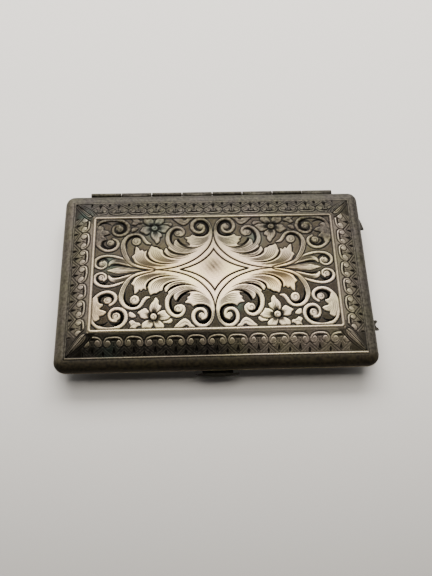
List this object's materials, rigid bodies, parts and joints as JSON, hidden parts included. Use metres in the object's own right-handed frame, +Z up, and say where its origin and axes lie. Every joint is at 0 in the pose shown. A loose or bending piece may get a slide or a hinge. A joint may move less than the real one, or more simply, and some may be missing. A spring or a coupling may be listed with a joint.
{
  "type": "needle case",
  "caption": "Flat hinged metal needle case with an ornamented lid panel, a sprung push-button catch, a felt needle pad and a sprung packet bar.",
  "frame": {"origin": "centre of the flat underside of the base", "axes": "+X along the length towards the chain lugs, +Y towards the hinge, +Z up through the lid"},
  "size_m": [0.1295, 0.0829, 0.0156],
  "materials": {
    "silver": "worn silver plate, oxidised in the recesses",
    "gilt": "satin gilt",
    "steel": "satin",
    "felt": "matt wool felt"
  },
  "bodies": {
    "base": {"base_shell": "silver", "base_bezel": "silver", "base_knuckle_1": "silver", "base_knuckle_2": "silver", "base_knuckle_3": "silver", "base_knuckle_4": "silver", "hinge_pin": "steel", "spring_block_left": "silver", "spring_block_right": "silver", "spring_rivet_left": "steel", "spring_rivet_right": "steel", "latch_spring": "steel", "rear_chain_lug": "silver", "front_chain_lug": "silver", "needle_pad": "felt", "pad_frame": "gilt"},
    "lid": {"lid_shell": "silver", "lid_knuckle_1": "silver", "lid_knuckle_2": "silver", "lid_knuckle_3": "silver", "lid_knuckle_4": "silver", "catch_keeper": "silver", "bar_bracket_left": "gilt", "bar_bracket_right": "gilt", "bar_pin_left": "steel", "bar_pin_right": "steel", "bar_spring_left": "steel", "bar_spring_right": "steel"},
    "button": {"push_button": "silver", "catch_hook": "steel"},
    "bar": {"packet_bar": "gilt"}
  },
  "joints": [
    {"name": "lid_hinge", "type": "hinge", "parent": "base", "child": "lid", "pos_m": [0, 0.04035, 0.00765], "axis": [-1, 0, 0], "range_deg": [0, 170]},
    {"name": "button_press", "type": "slide", "parent": "base", "child": "button", "axis": [0, 1, 0], "range_m": [0, 0.0011], "stiffness_N_per_m": 2000, "deforming": ["latch_spring"]},
    {"name": "bar_lift", "type": "hinge", "parent": "lid", "child": "bar", "pos_m": [0, 0.013, 0.0099], "axis": [1, 0, 0], "range_deg": [0, 18], "stiffness_Nm_per_rad": 0.02, "springref_deg": -11.46}
  ]
}
